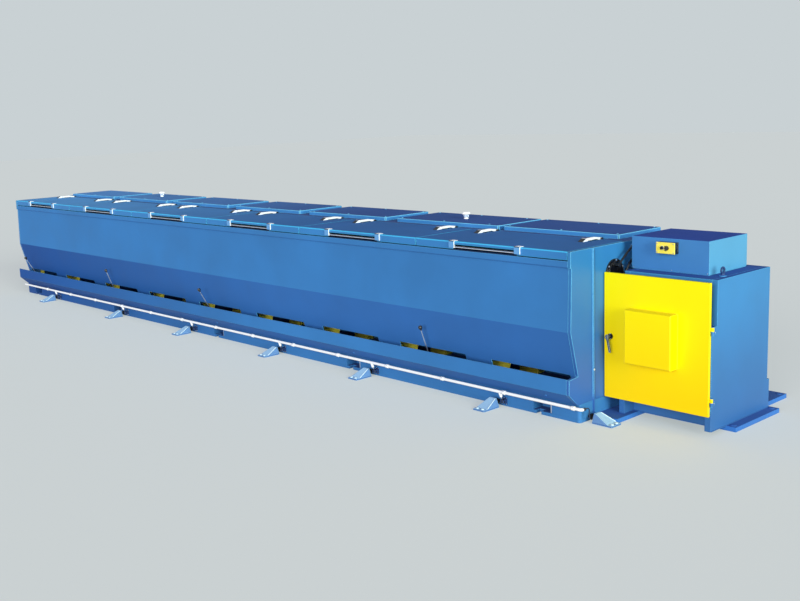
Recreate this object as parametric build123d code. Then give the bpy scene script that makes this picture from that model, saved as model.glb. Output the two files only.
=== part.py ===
from build123d import *
import math
import os

# Wire drawing machine with nine capstans in one long body and a finishing capstan in a cabinet.
# While it is built, X runs along the machine with 0 at the body's right end, Y runs away from the
# operator with 0 at the base's front face, and Z is up from the floor. All sizes are in millimetres.

# Body
body_length = 10400.0
base_extra_left = 125.0
base_depth = 1300.0
base_height = 160.0
base_corner_radius = 28.0
body_height = 1430.0
end_plate_thickness = 30.0
end_rib_y = 180.0
end_rib_depth = 12.0
end_rib_width = 14.0

# Front panel: the outer line of the bent sheet, from top to bottom
sheet = 6.0
panel_top_y = -95.0
panel_top_z = body_height - 84.0
panel_bend_y = -113.0
panel_bend_z = 775.0
notch_top_y = -20.0
notch_top_z = 400.0
tongue_bottom_z = 340.0
rail_front_y = -110.0
rail_bottom_z = body_height - 135.0
rail_top_z = body_height - 78.0
rail_flange_end_y = -45.0
rail_round = 10.0

# Slots along the foot of the front panel
slot_count = 9
slot_bridge = 311.0
slot_first_right = 80.0
slot_last_left = 92.0
slot_room = body_length - slot_first_right - slot_last_left
slot_length = (slot_room + slot_bridge) / slot_count - slot_bridge
slot_pitch = slot_length + slot_bridge

# Open front trough
trough_sheet = 5.0
trough_lip_y = -138.0
trough_lip_z = 390.0
trough_fold_y = -140.0
trough_fold_z = 265.0
trough_foot_y = -30.0
trough_flange_y = 60.0
trough_extra_left = 50.0

# Lids over the drawing compartment
lid_count = 6
lid_gap = 8.0
lid_end_gap = 5.0
lid_sheet = 4.0
lid_front_y = -107.0
lid_rear_y = 640.0
lid_front_flange = 70.0
lid_flange = 25.0
lid_bend_radius = 8.0
lid_notch_width = 100.0
lid_notch_depth = 160.0
handle_length = 730.0
handle_offset = 30.0
handle_diameter = 12.0
handle_notch_height = 42.0
handle_bracket_width = 60.0
handle_bracket_lap = 45.0
hinge_y = 690.0
hinge_z = body_height - 5.0
hinge_pin_diameter = 12.0
hinge_eye_radius = 14.0
hinge_arm_width = 18.0
hinge_cheek = 10.0
pin_clearance = 0.05
hinge_wedge_half = 26.0
hinge_wedge_height = 24.0
hinge_cheek_half = 24.0
hinge_foot_half = 36.0
hinge_inset = 262.0

# Gear housing behind the drawing compartment
housing_front_y = 652.0
housing_rear_y = 1282.0
housing_top_z = body_height - 2.0
hinge_pocket_width = 112.0
hinge_pocket_depth = 74.0
hinge_pocket_height = 48.0
cover_count = 7
cover_gap = 168.0
cover_first_right = 135.0
cover_last_left = 157.0
cover_room = body_length - cover_first_right - cover_last_left
cover_length = (cover_room + cover_gap) / cover_count - cover_gap
cover_pitch = cover_length + cover_gap
cover_front_y = 730.0
cover_rear_y = 1375.0
long_cover = 1
long_cover_extra = 110.0
cover_height = 38.0
cover_sheet = 4.0
cover_corner_radius = 18.0
back_panel_thickness = 8.0
back_panel_bottom_z = 210.0
back_panel_top_z = body_height - 40.0
# Each breather: the cover that it stands on, its distance from that cover's right edge, and its y
breather_places = ((1, 588.0, 1031.0), (5, 715.0, 1090.0))
breather_cap_radius = 44.0
breather_height = 72.0
breather_foot_radius = 24.0
breather_neck_radius = 14.0
breather_neck_top = 42.0
beam_width = 60.0
beam_height = 60.0

# Drawing capstans and die boxes
capstan_z = body_height - 580.0
capstan_radius = 270.0
capstan_flange_radius = 300.0
capstan_front_y = 330.0
capstan_shaft_radius = 55.0
capstan_shaft_length = 40.0
capstan_flange_width = 18.0
capstan_rim = 60.0
capstan_dish = 60.0
die_box_length = 260.0
die_box_depth = 170.0
die_box_height = 130.0
die_mouth_radius = 14.0
guard_y = 150.0
guard_height = 235.0
guard_sheet = 5.0
guard_block_depth = 60.0
guard_block_height = 110.0
guard_block_length = 220.0

# Base details
pocket_count = 5
pocket_first_right = 290.0
pocket_last_left = 145.0
pocket_length = 205.0
pocket_pitch = (body_length - pocket_first_right - pocket_last_left - pocket_length) / (pocket_count - 1)
pocket_bottom_z = 30.0
pocket_height = 78.0
pocket_depth = 130.0
lifting_pin_diameter = 18.0
drain_notch = 60.0
drain_notch_depth = 40.0
# How far a drain notch's middle is from its pocket's right end, as a share of the pocket's length
drain_notch_share = 0.7
foot_length = 270.0
foot_heel = 75.0
foot_width = 125.0
foot_ridge_width = 70.0
foot_plate = 16.0
foot_height = 80.0
foot_toe = 44.0
foot_screw_diameter = 32.0
foot_screw_z = 38.0
anchor_hole_diameter = 22.0
# Each foot stands this far to the left of a T arm of the trip bar
foot_offset = 75.0
end_foot_y = 123.0

# Trip bar along the base
bar_diameter = 26.0
bar_y = -75.0
bar_z = 145.0
bar_right_x = 75.0
bar_left_x = -body_length - 30.0
bar_hook_radius = 30.0
bar_hook_length = 45.0
bar_end_link_diameter = 9.0
bar_end_link_reach = 55.0
bar_end_link_drop = 90.0
collar_count = 14
collar_diameter = 36.0
collar_width = 30.0
collar_first_right = 10.0
collar_last_left = 730.0
collar_pitch = (body_length - collar_first_right - collar_last_left) / (collar_count - 1)
arm_diameter = 14.0
arm_stub_diameter = 30.0
arm_stub_length = 48.0
trip_pivot_y = -38.0
trip_pivot_z = 48.0
trip_hub_radius = 15.0
trip_hub_width = 22.0
trip_pin_diameter = 10.0
trip_cheek = 8.0
trip_plate = 6.0
trip_plate_half = 32.0
trip_ear = 14.0
# Distance of the T arms from the body's right end, as shares of its length
arm_shares = (0.077, 0.2375, 0.3825, 0.553, 0.7145, 0.905)
arm_stations = [body_length * share for share in arm_shares]

# Levers in the trough
lever_pivot_y = -45.0
lever_pivot_z = 330.0
lever_length = 300.0
lever_rod_diameter = 12.0
lever_knob_diameter = 38.0
lever_hub_radius = 15.0
lever_hub_width = 16.0
lever_pin_diameter = 10.0
lever_cheek = 8.0
fork_foot_half = 30.0
fork_foot_depth = 40.0
fork_plate = 8.0
fork_ear = 14.0
# Distance of each lever from the body's right end, as a share of its length, with its lean
# towards the operator in degrees
lever_places = ((0.1625, 20.0), (0.5135, 28.0), (0.7365, 20.0), (0.968, 29.0))

# Capstan cabinet
cabinet_left_x = 130.0
cabinet_right_x = 971.0
cabinet_side_thickness = 50.0
cabinet_front_y = 437.0
cabinet_step_y = 360.0
cabinet_step_z = 866.0
cabinet_rear_y = 1240.0
cabinet_height = 1220.0
cabinet_sheet = 30.0
cabinet_heel_depth = 34.0
cabinet_heel_z = 280.0
plate_height = 38.0
sill_front_y = 500.0
sill_rear_y = 540.0
sill_height = 150.0
link_plate_right_x = 230.0
link_plate_front_y = 190.0
plate_right_x = 1060.0
plate_flange_front_y = 590.0
plate_flange_rear_y = 1290.0
rear_plate_left_x = 200.0
rear_plate_right_x = 900.0
rear_plate_rear_y = 1730.0
plate_hole_inset = 45.0
box_left_x = 100.0
box_right_x = 810.0
box_front_y = 580.0
box_rear_y = 1155.0
finish_front_y = 630.0
finish_shaft_radius = 70.0
finish_shaft_length = 330.0
finish_z = 640.0
box_height = 270.0
box_lid_height = 262.0
box_step = 4.0
eye_x = 897.0
eye_y = 633.0
eye_outer_radius = 31.0
eye_bore_radius = 17.0
eye_thickness = 14.0
eye_stem_height = 44.0

# Cabinet door
door_left_x = 8.0
door_right_x = 970.0
door_front_y = 325.0
door_thickness = 25.0
door_sheet = 3.0
door_bottom_z = 165.0
door_top_z = 1213.0
door_box_left_x = 266.0
door_box_right_x = 695.0
door_box_bottom_z = 505.0
door_box_top_z = 943.0
door_box_depth = 100.0
door_box_taper = 10.0
door_hinge_x = 987.0
door_hinge_y = 345.0
knuckle_radius = 11.0
knuckle_height = 64.0
door_pin_diameter = 10.0
hinge_leaf = 9.0
door_hinge_heights = (248.0, 808.0)
door_handle_x = 70.0
door_handle_z = 685.0
door_handle_reach = 158.0
door_handle_tilt = 12.0
spindle_diameter = 14.0

# Push-button station on the top box
station_left_x = 367.0
station_right_x = 537.0
station_bottom_z = cabinet_height + 154.0
station_top_z = station_bottom_z + 90.0
station_base_depth = 52.0
station_cover_depth = 8.0
button_x = 425.0
button_z = station_bottom_z + 46.0
button_radius = 13.0
selector_x = 467.0
selector_radius = 19.0
stem_diameter = 12.0
stem_depth = 22.0

# Flange on the right end wall and its hoses
flange_y = 470.0
flange_z = body_height - 245.0
flange_radius = 120.0
flange_thickness = 24.0
hose_diameter = 20.0
hose_x = 62.0
gland_radius = 15.0
gland_reach = 24.0
# Ends of each hose at its two elbow glands, as (y, z), then how high it bows over the straight line
# between them at points a share of the way along
hose_ends = (
    ((462.0, flange_z + 87.0), (630.0, cabinet_height + 166.0)),
    ((540.0, flange_z - 7.0), (662.0, cabinet_height + 80.0)),
)
hose_bows = (((0.494, 12.0),), ((0.213, 20.0), (0.541, 20.0)))

touch = 0.3


def box(x0, x1, y0, y1, z0, z1):
    """A block from its lowest to its highest corner."""
    return Pos((x0 + x1) / 2, (y0 + y1) / 2, (z0 + z1) / 2) * Box(x1 - x0, y1 - y0, z1 - z0)


def run_x(points, x0, x1):
    """A profile of (y, z) points, extruded along X from x0 to x1."""
    face = make_face(Polyline([(x0, y, z) for y, z in points], close=True))
    return extrude(face, amount=x1 - x0, dir=(1, 0, 0))


def run_y(points, y0, y1):
    """A profile of (x, z) points, extruded along Y from y0 to y1."""
    face = make_face(Polyline([(x, y0, z) for x, z in points], close=True))
    return extrude(face, amount=y1 - y0, dir=(0, 1, 0))


def run_z(points, z0, z1):
    """A profile of (x, y) points, extruded along Z from z0 to z1."""
    face = make_face(Polyline([(x, y, z0) for x, y in points], close=True))
    return extrude(face, amount=z1 - z0, dir=(0, 0, 1))


def rod_x(radius, x0, x1, y, z):
    """A round bar along X."""
    return Pos((x0 + x1) / 2, y, z) * Rot(0, 90, 0) * Cylinder(radius, x1 - x0)


def rod_y(radius, x, y0, y1, z):
    """A round bar along Y."""
    return Pos(x, (y0 + y1) / 2, z) * Rot(90, 0, 0) * Cylinder(radius, y1 - y0)


def rod_z(radius, x, y, z0, z1):
    """A round bar along Z."""
    return Pos(x, y, (z0 + z1) / 2) * Cylinder(radius, z1 - z0)


def turned_y(profile, x, y, z):
    """A turned piece about a Y axis, from (radius, distance along Y) points."""
    face = make_face(Polyline([(r, d, 0) for r, d in profile], close=True))
    return Pos(x, y, z) * revolve(face, Axis.Y)


def turned_z(profile, x, y, z):
    """A turned piece about a Z axis, from (radius, height) points."""
    face = make_face(Polyline([(r, 0, h) for r, h in profile], close=True))
    return Pos(x, y, z) * revolve(face, Axis.Z)


def panel_y(z):
    """The front panel's outer face at height z."""
    if z >= panel_bend_z:
        share = (z - panel_bend_z) / (panel_top_z - panel_bend_z)
        return panel_bend_y + share * (panel_top_y - panel_bend_y)
    share = (z - notch_top_z) / (panel_bend_z - notch_top_z)
    return notch_top_y + share * (panel_bend_y - notch_top_y)


nodes = {}
inner_left = -body_length + end_plate_thickness
inner_right = -end_plate_thickness
slot_rights = [-slot_first_right - slot_pitch * k for k in range(slot_count)]
slot_lefts = [right - slot_length for right in slot_rights]

# Base frame: a welded bed with two rails along each long side, and blocks between the rails that
# leave the lifting pockets open
base_left = -body_length - base_extra_left
base = box(base_left, 0, 0, base_depth, 0, base_height)
corners = base.edges().filter_by(Axis.Z).filter_by_position(Axis.Y, -1, 1)
base = fillet(corners, base_corner_radius)
pocket_top_z = pocket_bottom_z + pocket_height
pocket_rights = [-pocket_first_right - pocket_pitch * k for k in range(pocket_count)]
block_ends = [0] + [x for right in pocket_rights for x in (right, right - pocket_length)] + [base_left]
rear_rail_y = base_depth - pocket_depth
side_rails = []
side_blocks = []
lifting_pins = []
for y0, y1, pin_y in (
    (0, pocket_depth, lifting_pin_diameter), (rear_rail_y, base_depth, base_depth - lifting_pin_diameter),
):
    lower_rail = base & box(base_left, 0, y0, y1, 0, pocket_bottom_z)
    for right in pocket_rights:
        middle = right - pocket_length * drain_notch_share
        lower_rail -= box(middle - drain_notch / 2, middle + drain_notch / 2, pin_y - drain_notch_depth,
                          pin_y + drain_notch_depth, 0, pocket_bottom_z)
        pin_x = right - lifting_pin_diameter
        lifting_pins.append(rod_z(lifting_pin_diameter / 2, pin_x, pin_y, pocket_bottom_z, pocket_top_z))
    side_rails.append(lower_rail)
    side_rails.append(base & box(base_left, 0, y0, y1, pocket_top_z, base_height))
    for right, left in zip(block_ends[::2], block_ends[1::2]):
        side_blocks.append(base & box(left, right, y0, y1, pocket_bottom_z, pocket_top_z))
nodes["base_frame"] = [base & box(base_left, 0, pocket_depth, rear_rail_y, 0, base_height)]
nodes["base_side_rails"] = side_rails
nodes["base_side_blocks"] = side_blocks
nodes["lifting_pins"] = lifting_pins

# End plates: the right one also closes the trough, the left one stops behind it
right_outline = [
    (trough_foot_y, base_height), (trough_fold_y, trough_fold_z), (trough_lip_y, trough_lip_z),
    (notch_top_y, notch_top_z), (panel_bend_y, panel_bend_z), (panel_y(rail_bottom_z), rail_bottom_z),
    (rail_front_y, rail_bottom_z), (rail_front_y, body_height - lid_bend_radius),
    (rail_front_y + lid_bend_radius, body_height), (housing_rear_y, body_height),
    (housing_rear_y, base_height),
]
left_outline = [
    (sheet, base_height), (panel_y(tongue_bottom_z), tongue_bottom_z),
] + right_outline[3:]
rib = box(0, end_rib_depth, end_rib_y - end_rib_width / 2, end_rib_y + end_rib_width / 2,
          foot_plate / 2, body_height)
right_plate = run_x(right_outline, inner_right, 0) + rib
left_plate = run_x(left_outline, -body_length, inner_left)
nodes["right_end_plate"] = [right_plate]
nodes["left_end_plate"] = [left_plate]

# Front panel: one bent sheet, notched along its foot for the slots
panel_outer = [
    (panel_y(tongue_bottom_z), tongue_bottom_z), (panel_bend_y, panel_bend_z), (panel_top_y, panel_top_z),
]
panel_inner = [(y + sheet, z) for y, z in reversed(panel_outer)]
front_panel = run_x(panel_outer + panel_inner, inner_left, inner_right)
for left, right in zip(slot_lefts, slot_rights):
    front_panel -= box(left, right, panel_bend_y, -panel_bend_y, 0, notch_top_z)
nodes["front_panel"] = [front_panel]

# Top rail: a capping angle with a rounded lower edge, which the lids close on
rail_profile = [
    (rail_front_y, rail_top_z), (rail_front_y, rail_bottom_z + rail_round),
    (rail_front_y + rail_round * 0.3, rail_bottom_z + rail_round * 0.3),
    (rail_front_y + rail_round, rail_bottom_z), (panel_y(rail_bottom_z), rail_bottom_z),
    (panel_top_y, panel_top_z), (rail_flange_end_y, panel_top_z), (rail_flange_end_y, rail_top_z),
]
nodes["top_rail"] = [run_x(rail_profile, inner_left, inner_right)]

# Front trough: an open folded gutter on the base's front edge
trough_outer = [
    (trough_lip_y, trough_lip_z), (trough_fold_y, trough_fold_z), (trough_foot_y, base_height),
    (trough_flange_y, base_height),
]
trough_inner = [
    (trough_flange_y, base_height + trough_sheet),
    (trough_foot_y + trough_sheet * 0.4, base_height + trough_sheet),
    (trough_fold_y + trough_sheet, trough_fold_z + trough_sheet * 0.4),
    (trough_lip_y + trough_sheet, trough_lip_z),
]
trough_left = -body_length - trough_extra_left
gutter = run_x(trough_outer + trough_inner, trough_left, inner_right)
gutter -= box(-body_length, inner_left, 0, 2 * trough_flange_y, base_height, 2 * base_height)
nodes["front_trough"] = [gutter]

# Gear housing: the closed rear body, with a recess for each hinge block
housing = box(inner_left, inner_right, housing_front_y, housing_rear_y, base_height, housing_top_z)
lid_pitch = (inner_right - inner_left - 2 * lid_end_gap + lid_gap) / lid_count
lid_rights = [inner_right - lid_end_gap - lid_pitch * k for k in range(lid_count)]
hinge_xs = [[right - hinge_inset, right - lid_pitch + lid_gap + hinge_inset] for right in lid_rights]
pocket_floor_z = housing_top_z - hinge_pocket_height
pocket_rear_y = housing_front_y + hinge_pocket_depth
hinge_blocks = []
for x in [x for pair in hinge_xs for x in pair]:
    half = hinge_pocket_width / 2
    housing -= box(x - half, x + half, housing_front_y, pocket_rear_y, pocket_floor_z, housing_top_z)
    gap = hinge_arm_width / 2 + touch
    foot_z = pocket_floor_z + hinge_cheek
    cheek = [
        (hinge_y - hinge_cheek_half, foot_z), (hinge_y - hinge_cheek_half / 2, hinge_z + hinge_pin_diameter),
        (hinge_y + hinge_cheek_half / 2, hinge_z + hinge_pin_diameter), (hinge_y + hinge_cheek_half, foot_z),
    ]
    block = box(x - hinge_foot_half, x + hinge_foot_half,
                hinge_y - hinge_foot_half, hinge_y + hinge_cheek_half, pocket_floor_z, foot_z)
    outer = gap + hinge_cheek
    block += run_x(cheek, x - outer, x - gap)
    block += run_x(cheek, x + gap, x + outer)
    block += rod_x(hinge_pin_diameter / 2, x - outer - hinge_cheek / 2, x + outer + hinge_cheek / 2,
                   hinge_y, hinge_z)
    hinge_blocks.append(block)
nodes["gear_housing"] = [housing]
nodes["lid_hinge_blocks"] = hinge_blocks

# Rear covers and back panels in equal bays
rear_covers = []
back_panels = []
for k in range(cover_count):
    right = -cover_first_right - cover_pitch * k
    left = right - cover_length
    panel_right = right
    if k == long_cover:
        right += long_cover_extra
    cover = box(left, right, cover_front_y, cover_rear_y, housing_top_z, housing_top_z + cover_height)
    cover = fillet(cover.edges().filter_by(Axis.Z), cover_corner_radius)
    cover = fillet(cover.faces().sort_by(Axis.Z)[-1].edges(), cover_sheet)
    cover -= box(left + cover_sheet, right - cover_sheet, cover_front_y + cover_sheet,
                 cover_rear_y - cover_sheet, housing_top_z, housing_top_z + cover_height - cover_sheet)
    rear_covers.append(cover)
    back_panels.append(box(left, panel_right, housing_rear_y, housing_rear_y + back_panel_thickness,
                           back_panel_bottom_z, back_panel_top_z))
nodes["rear_covers"] = rear_covers
nodes["back_panels"] = back_panels

# Breathers: mushroom caps on two of the rear covers
cover_top_z = housing_top_z + cover_height
breather_profile = [
    (0, 0), (breather_foot_radius, 0), (breather_foot_radius, 8),
    (breather_neck_radius, 14), (breather_neck_radius, breather_neck_top),
    (breather_cap_radius, breather_neck_top + 6), (breather_cap_radius, breather_neck_top + 14),
    (breather_cap_radius * 0.75, breather_height - 3), (breather_cap_radius * 0.25, breather_height),
    (0, breather_height),
]
nodes["breathers"] = [
    turned_z(breather_profile, -cover_first_right - cover_pitch * k - from_right, y, cover_top_z)
    for k, from_right, y in breather_places
]

# Cross beams under the lid seams tie the front panel to the housing
beam_front_y = panel_top_y + sheet + touch
nodes["cross_beams"] = [
    box(right + (lid_gap - beam_width) / 2, right + (lid_gap + beam_width) / 2,
        beam_front_y, housing_front_y, panel_top_z - beam_height, panel_top_z)
    for right in lid_rights[1:]
]

# Drawing capstans: stepped drums with a hollowed front face on shafts out of the housing
def capstan_profile(reach, shaft_length, shaft_radius):
    """A drum's outline from its seat to its front, as (radius, distance along Y) points."""
    flange = -shaft_length - capstan_flange_width / 2
    throat = flange - capstan_flange_width * 1.5
    hub_radius = shaft_radius + capstan_rim / 2
    return [
        (0, 0), (shaft_radius, 0), (shaft_radius, -shaft_length), (capstan_flange_radius, flange),
        (capstan_flange_radius, flange - capstan_flange_width), (capstan_radius + capstan_rim / 8, throat),
        (capstan_radius, throat - capstan_flange_width * 2),
        (capstan_radius - capstan_rim / 10, -reach + capstan_dish / 3),
        (capstan_radius - capstan_rim / 4, -reach), (capstan_radius - capstan_rim, -reach),
        (capstan_radius - capstan_rim * 4 / 3, -reach + capstan_dish), (hub_radius, -reach + capstan_dish),
        (hub_radius * 0.85, -reach + capstan_dish / 3), (0, -reach + capstan_dish / 3),
    ]


drum_profile = capstan_profile(housing_front_y - capstan_front_y, capstan_shaft_length, capstan_shaft_radius)
capstan_xs = [(left + right) / 2 for left, right in zip(slot_lefts, slot_rights)]
nodes["drawing_capstans"] = [
    turned_y(drum_profile, x, housing_front_y, capstan_z) for x in capstan_xs
]

# Die boxes: closed boxes with a sloping lid between the capstans, on brackets from the housing
die_z = capstan_z + capstan_radius
die_front_y = (capstan_front_y + housing_front_y - die_box_depth) / 2
die_bottom_z = die_z - die_box_height / 2
die_profile = [
    (die_front_y, die_bottom_z), (die_front_y, die_z + die_box_height / 4),
    (die_front_y + die_box_depth * 0.4, die_z + die_box_height / 2),
    (die_front_y + die_box_depth, die_z + die_box_height / 2), (die_front_y + die_box_depth, die_bottom_z),
]
die_boxes = []
for x in [x - slot_pitch / 2 for x in capstan_xs[:-1]]:
    half = die_box_length / 2
    tray = run_x(die_profile, x - half, x + half)
    tray -= rod_x(die_mouth_radius, x - half - 1, x + half + 1, die_front_y + die_box_depth / 2, die_z)
    tray += box(x - half / 2, x + half / 2, die_front_y + die_box_depth, housing_front_y,
                die_bottom_z, die_bottom_z + 25)
    die_boxes.append(tray)
nodes["die_boxes"] = die_boxes

# Inner guards: yellow plates with a slanting end, and low guards at the foot of the housing
inner_guards = []
for left in slot_lefts:
    near = max(left - 190, inner_left + 1)
    plate = run_y(
        [(near, base_height), (left + 5, base_height), (left + 95, base_height + guard_height),
         (near, base_height + guard_height)],
        guard_y, guard_y + guard_sheet,
    )
    plate += box(near, left + 5, guard_y, guard_y + 40, base_height, base_height + guard_sheet)
    block_left = max(left - 175, inner_left + 1)
    low = run_x(
        [(housing_front_y - guard_block_depth - 40, base_height),
         (housing_front_y - guard_block_depth, base_height + guard_block_height),
         (housing_front_y, base_height + guard_block_height), (housing_front_y, base_height)],
        block_left, block_left + guard_block_length,
    )
    inner_guards.append(plate)
    inner_guards.append(low)
nodes["inner_guards"] = inner_guards

# Lids: folded trays notched at the rear for their two hinge arms, and in front for the handle
lid_profile = [
    (lid_front_y, body_height - lid_front_flange), (lid_front_y, body_height - lid_bend_radius),
    (lid_front_y + lid_bend_radius * 0.29, body_height - lid_bend_radius * 0.29),
    (lid_front_y + lid_bend_radius, body_height), (lid_rear_y, body_height),
    (lid_rear_y, body_height - lid_flange), (lid_front_y + lid_bend_radius, body_height - lid_flange),
    (lid_front_y + lid_sheet, body_height - lid_front_flange),
]
handle_y = lid_front_y + 3
lip_bottom_z = body_height - lid_front_flange
handle_z = lip_bottom_z + handle_notch_height / 2
for k, right in enumerate(lid_rights):
    left = right - lid_pitch + lid_gap
    middle = (left + right) / 2 - handle_offset
    lid = run_x(lid_profile, left, right)
    lid -= box(left + lid_sheet, right - lid_sheet, lid_front_y + lid_sheet, lid_rear_y - lid_sheet,
               0, body_height - lid_sheet)
    for x in hinge_xs[k]:
        half = lid_notch_width / 2
        lid -= box(x - half, x + half, lid_rear_y - lid_notch_depth, lid_rear_y + 1, 0, body_height + 1)
    half = handle_length / 2
    lid -= box(middle - half, middle + half, lid_front_y - 1, lid_front_y + lid_bend_radius + lid_sheet,
               lip_bottom_z - 1, lip_bottom_z + handle_notch_height)
    fittings = []
    handle = rod_x(handle_diameter / 2, middle - half + 2, middle + half - 2, handle_y, handle_z)
    bracket = [
        (lid_front_y - touch, handle_z - 10), (lid_front_y - 11, handle_z - 10),
        (lid_front_y - 11, body_height - 2), (lid_front_y - 4, body_height + 4),
        (lid_front_y + handle_bracket_lap, body_height + 4), (lid_front_y + handle_bracket_lap, body_height),
        (lid_front_y - touch, body_height),
    ]
    for side in (-1, 1):
        outer = middle + side * (half + handle_bracket_width - 20)
        inner = middle + side * (half - 20)
        handle += run_x(bracket, min(outer, inner), max(outer, inner))
        end = middle + side * (half - 1)
        handle += box(min(end, inner), max(end, inner), lid_front_y - 11, handle_y + handle_diameter / 2,
                      handle_z - 10, handle_z + 10)
    fittings.append(handle)
    for x in hinge_xs[k]:
        arm_top_z = body_height + hinge_wedge_height - 2
        arm_points = [
            (lid_rear_y - lid_notch_depth - 60, body_height), (lid_rear_y - lid_notch_depth - 30, arm_top_z),
            (lid_rear_y - 40, arm_top_z), (hinge_y, hinge_z + hinge_eye_radius),
            (hinge_y, hinge_z - hinge_eye_radius), (lid_rear_y - 20, body_height + 2),
            (lid_rear_y - lid_notch_depth, body_height),
        ]
        arm = run_x(arm_points, x - hinge_arm_width / 2, x + hinge_arm_width / 2)
        arm += rod_x(hinge_eye_radius, x - hinge_arm_width / 2, x + hinge_arm_width / 2, hinge_y, hinge_z)
        wedge_top_z = body_height + hinge_wedge_height
        wedge_rear_y = lid_rear_y - lid_notch_depth - 2
        wedge = [
            (wedge_rear_y - 3 * hinge_wedge_height, body_height),
            (wedge_rear_y - hinge_wedge_height, wedge_top_z),
            (wedge_rear_y, wedge_top_z), (wedge_rear_y, body_height),
        ]
        arm += run_x(wedge, x - hinge_wedge_half, x + hinge_wedge_half)
        arm -= rod_x(hinge_pin_diameter / 2 + pin_clearance, x - 60, x + 60, hinge_y, hinge_z)
        fittings.append(arm)
    nodes[f"lid_{k + 1}"] = [lid]
    nodes[f"lid_{k + 1}_fittings"] = fittings

# Anchor feet: a toe plate with an anchor hole, a sloping ridge with splayed sides, and a black
# screw that holds the heel to the wall
def anchor_foot():
    """A foot that runs out along -Y from its wall at the origin, and its screw."""
    heel_y = -foot_heel
    slope_end_y = -foot_length + foot_toe
    plate = box(-foot_width / 2, foot_width / 2, -foot_length, heel_y, 0, foot_plate)
    side = [(-foot_width / 2, foot_plate), (foot_width / 2, foot_plate),
            (foot_ridge_width / 2, foot_height), (-foot_ridge_width / 2, foot_height)]
    slope = [(heel_y, foot_plate), (heel_y, foot_height), (heel_y - foot_plate, foot_height),
             (slope_end_y, foot_plate)]
    wedge = run_y(side, -foot_length, 0) & run_x(slope, -foot_width / 2, foot_width / 2)
    hole = rod_z(anchor_hole_diameter / 2, 0, -foot_length + foot_toe / 2, -1, foot_plate + 1)
    screw = rod_y(foot_screw_diameter / 2, 0, heel_y, 0, foot_screw_z)
    return plate + wedge - hole, screw


feet = []
foot_screws = []
foot_places = [Pos(-station - foot_offset, 0, 0) for station in arm_stations]
foot_places += [Pos(-station - foot_offset, base_depth, 0) * Rot(0, 0, 180) for station in arm_stations]
foot_places += [Pos(0, end_foot_y, 0) * Rot(0, 0, 90), Pos(base_left, base_depth / 2, 0) * Rot(0, 0, -90)]
for place in foot_places:
    foot, screw = anchor_foot()
    feet.append(place * foot)
    foot_screws.append(place * screw)
nodes["anchor_feet"] = feet
nodes["foot_screws"] = foot_screws

# Trip bar: a kick tube on T arms, hinged low on the base, with its right end turned inwards
bar = rod_x(bar_diameter / 2, bar_left_x, bar_right_x - bar_hook_radius, bar_y, bar_z)
hook_path = FilletPolyline(
    (bar_right_x - bar_hook_radius - 1, bar_y, bar_z), (bar_right_x, bar_y, bar_z),
    (bar_right_x, bar_y + bar_hook_length, bar_z), radius=bar_hook_radius - 2,
)
bar += sweep(Plane(hook_path @ 0, z_dir=hook_path % 0) * Circle(bar_diameter / 2), path=hook_path)
hook_end_y = bar_y + bar_hook_length
link_path = FilletPolyline(
    (bar_right_x, hook_end_y - 1, bar_z), (bar_right_x, hook_end_y + bar_end_link_reach, bar_z),
    (bar_right_x, hook_end_y + bar_end_link_reach, bar_z - bar_end_link_drop), radius=bar_end_link_reach / 2,
)
bar += sweep(Plane(link_path @ 0, z_dir=link_path % 0) * Circle(bar_end_link_diameter / 2), path=link_path)
for k in range(collar_count):
    collar_x = -collar_first_right - collar_pitch * k
    bar += rod_x(collar_diameter / 2, collar_x - collar_width / 2, collar_x + collar_width / 2, bar_y, bar_z)
trip_pivots = []
for station in arm_stations:
    x = -station
    arm_path = Line((x, bar_y, bar_z), (x, trip_pivot_y, trip_pivot_z))
    bar += sweep(Plane(arm_path @ 0, z_dir=arm_path % 0) * Circle(arm_diameter / 2), path=arm_path)
    stub_path = Line((x, bar_y, bar_z), arm_path @ (arm_stub_length / arm_path.length))
    bar += sweep(Plane(stub_path @ 0, z_dir=stub_path % 0) * Circle(arm_stub_diameter / 2), path=stub_path)
    bar += rod_x(trip_hub_radius, x - trip_hub_width / 2, x + trip_hub_width / 2, trip_pivot_y, trip_pivot_z)
    bar -= rod_x(trip_pin_diameter / 2 + pin_clearance, x - trip_hub_width, x + trip_hub_width,
                 trip_pivot_y, trip_pivot_z)
    gap = trip_hub_width / 2 + touch
    ear = [(0, trip_pivot_z - trip_ear * 1.5), (trip_pivot_y - trip_ear, trip_pivot_z - trip_ear),
           (trip_pivot_y - trip_ear, trip_pivot_z + trip_ear), (0, trip_pivot_z + trip_ear * 1.8)]
    bracket = box(x - gap - trip_cheek, x + gap + trip_cheek, -trip_plate, 0,
                  trip_pivot_z - trip_plate_half, trip_pivot_z + trip_plate_half)
    bracket += run_x(ear, x - gap - trip_cheek, x - gap) + run_x(ear, x + gap, x + gap + trip_cheek)
    bracket += rod_x(trip_pin_diameter / 2, x - gap - trip_cheek, x + gap + trip_cheek,
                     trip_pivot_y, trip_pivot_z)
    trip_pivots.append(bracket)
nodes["trip_bar"] = [bar]
nodes["trip_bar_pivots"] = trip_pivots

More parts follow.
